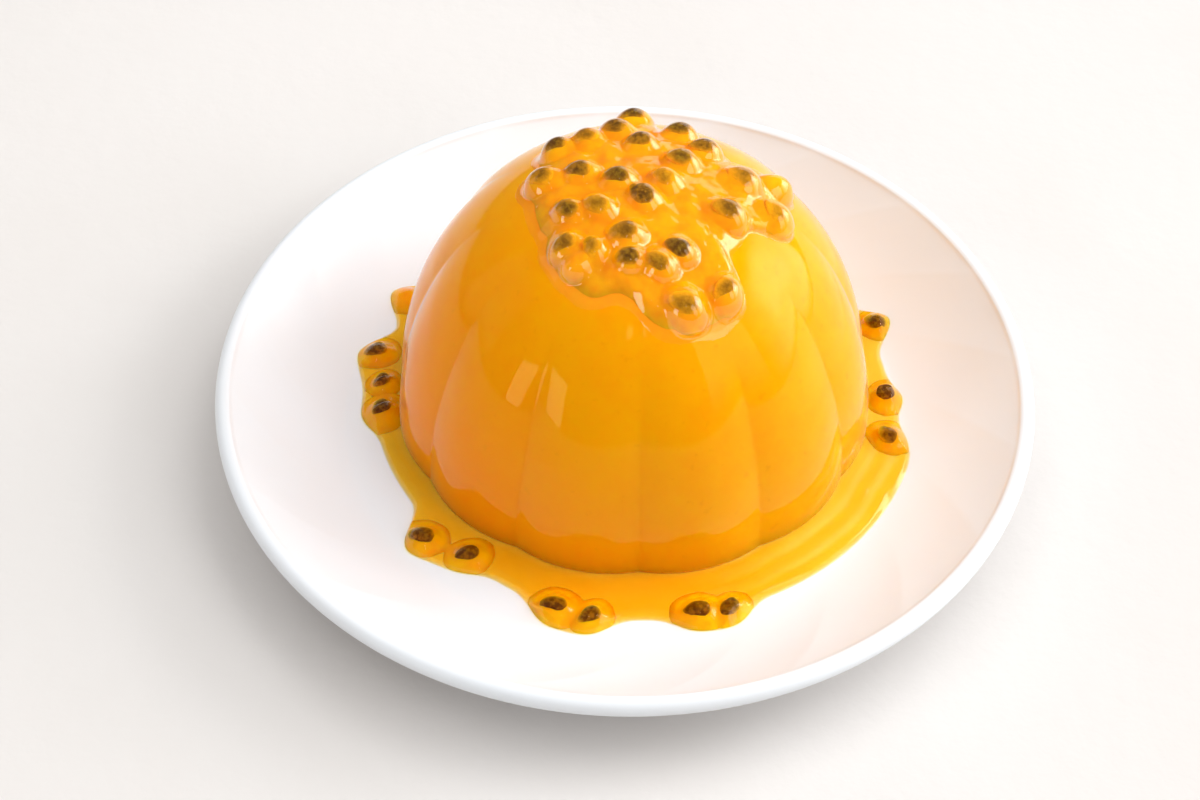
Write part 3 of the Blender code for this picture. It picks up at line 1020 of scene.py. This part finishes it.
def add_soft_light(name, bearing, rise, wide, tall, glow, glossy=True, fade=(0, 0, 0, 0),
                   colour=(1, 1, 1)):
    """A panel light seen from the jelly at this bearing and height, this many degrees big.

    glow is its radiance. fade says over which part of the panel it dims towards the edges at
    its lower bearing, higher bearing, foot and top.
    """
    lamp = bpy.data.lights.new(name, "AREA")
    lamp.shape = "RECTANGLE"
    lamp.size = 2 * LIGHT_DISTANCE * math.tan(math.radians(wide / 2))
    lamp.size_y = 2 * LIGHT_DISTANCE * math.tan(math.radians(tall / 2))
    lamp.energy = glow * math.pi * lamp.size * lamp.size_y
    lamp.color = colour
    lamp.use_nodes = True
    nodes = Nodes(lamp.node_tree)
    where = nodes.node("ShaderNodeTexCoord", output="UV")
    split = nodes.node("ShaderNodeSeparateXYZ", inputs={"Vector": where}).socket.node
    along, over = (Value(nodes, split.outputs[axis]) for axis in "XY")
    strength = 1.0
    for place, part in ((along, fade[0]), (1 - along, fade[1]),
                        (over, fade[2]), (1 - over, fade[3])):
        if part:
            strength = nodes.between(place, 0.0, part) * strength
    nodes.give(lamp.node_tree.nodes["Emission"].inputs["Strength"], strength)
    light = bpy.data.objects.new(name, lamp)
    bearing, rise = math.radians(bearing), math.radians(rise)
    away = Vector((math.sin(bearing) * math.cos(rise), -math.cos(bearing) * math.cos(rise),
                   math.sin(rise)))
    light.location = LIT_MIDDLE + away * LIGHT_DISTANCE
    light.rotation_euler = away.to_track_quat("Z", "Y").to_euler()
    light.visible_glossy = glossy
    bpy.context.scene.collection.objects.link(light)


def add_floor(settings):
    """A wide flat floor under the foot of the plate."""
    half = FLOOR_HALF
    mesh = bpy.data.meshes.new("floor")
    mesh.from_pydata([(-half, -half, 0), (half, -half, 0), (half, half, 0),
                      (-half, half, 0)], [], [(0, 1, 2, 3)])
    mesh.materials.append(floor_finish(settings))
    floor = bpy.data.objects.new("floor", mesh)
    bpy.context.scene.collection.objects.link(floor)


def add_lights(settings):
    """Big soft lights on the right, weaker ones at the left, and panes that the skin reflects."""
    add_soft_light("key", 98, 21, 62, 44, settings.key_glow, fade=(0.5, 0.1, 0.15, 0.3),
                   colour=COOL_LIGHT)
    add_soft_light("bright_pane", 103, 25, 32, 30, 3.4, fade=(0.3, 0.3, 0.3, 0.3))
    add_soft_light("overhead", 150, 85, 60, 60, settings.fill_glow, glossy=False,
                   colour=COOL_LIGHT)
    add_soft_light("high_right", 112, 52, 50, 50, 1.8, glossy=False, colour=COOL_LIGHT)
    add_soft_light("fill_left", -60, 56, 60, 50, 0.7, glossy=False)
    add_soft_light("window_right", 54, 25, 24, 46, 2.2, fade=(0, 0, 0.5, 0))
    add_soft_light("window_left", -49, 9, 14, 18, 4.0)
    add_soft_light("wall_left", -96, 22, 30, 42, 0.4, fade=(0.15, 0.15, 0.15, 0.15),
                   colour=WARM_LIGHT)
    add_soft_light("pane_high", 0, 52, 3, 7, 4.0)
    add_soft_light("wall_back", 156, 18, 50, 40, 0.9, fade=(0.2, 0.2, 0, 0.2))


def add_sky():
    """A faint warm light from everywhere."""
    world = bpy.data.worlds.new("studio")
    world.use_nodes = True
    sky = world.node_tree.nodes["Background"]
    sky.inputs["Color"].default_value = SKY_COLOUR
    sky.inputs["Strength"].default_value = SKY_GLOW
    bpy.context.scene.world = world


def add_camera(settings):
    """The camera, in front of the plate and looking down on it."""
    lens = bpy.data.cameras.new("camera")
    lens.lens = LENS
    lens.sensor_width = SENSOR_WIDTH
    camera = bpy.data.objects.new("camera", lens)
    ahead = Vector((0, math.cos(settings.pitch), -math.sin(settings.pitch)))
    camera.location = VIEW_TARGET - ahead * VIEW_DISTANCE
    turned = Matrix.Rotation(math.pi / 2 - settings.pitch, 3, "X")
    turned = turned @ Matrix.Rotation(settings.roll, 3, "Z")
    camera.rotation_euler = turned.to_euler()
    bpy.context.scene.collection.objects.link(camera)
    bpy.context.scene.camera = camera


class JELLY_OT_stage(bpy.types.Operator):
    """Make the floor, the soft lights and the camera"""

    bl_idname = "jelly.stage"
    bl_label = "Stage"

    def execute(self, context):
        settings = context.scene.jelly_stage
        add_floor(settings)
        add_lights(settings)
        add_sky()
        context.scene.view_settings.view_transform = "Standard"
        add_camera(settings)
        return {"FINISHED"}


# ---------------------------------------------------------------- panel and registering

class JELLY_PT_panel(bpy.types.Panel):
    """The jelly's makers, in the 3D view's sidebar"""

    bl_label = "Moulded jelly"
    bl_space_type = "VIEW_3D"
    bl_region_type = "UI"
    bl_category = "Jelly"

    def draw(self, context):
        for operator in OPERATORS:
            self.layout.operator(operator.bl_idname)


SETTINGS = {
    "jelly_plate": PlateSettings,
    "jelly_body": JellySettings,
    "jelly_pulp": PulpSettings,
    "jelly_stage": StageSettings,
}
OPERATORS = (JELLY_OT_plate, JELLY_OT_body, JELLY_OT_gel, JELLY_OT_seeds, JELLY_OT_stage)


def register():
    for name, group in SETTINGS.items():
        bpy.utils.register_class(group)
        setattr(bpy.types.Scene, name, PointerProperty(type=group))
    for operator in OPERATORS:
        bpy.utils.register_class(operator)
    bpy.utils.register_class(JELLY_PT_panel)


def unregister():
    bpy.utils.unregister_class(JELLY_PT_panel)
    for operator in reversed(OPERATORS):
        bpy.utils.unregister_class(operator)
    for name, group in reversed(list(SETTINGS.items())):
        delattr(bpy.types.Scene, name)
        bpy.utils.unregister_class(group)


def main():
    """Makes every piece and the stage."""
    register()
    bpy.ops.jelly.plate()
    bpy.ops.jelly.body()
    bpy.ops.jelly.gel()
    bpy.ops.jelly.seeds()
    bpy.ops.jelly.stage()


if __name__ == "__main__":
    main()
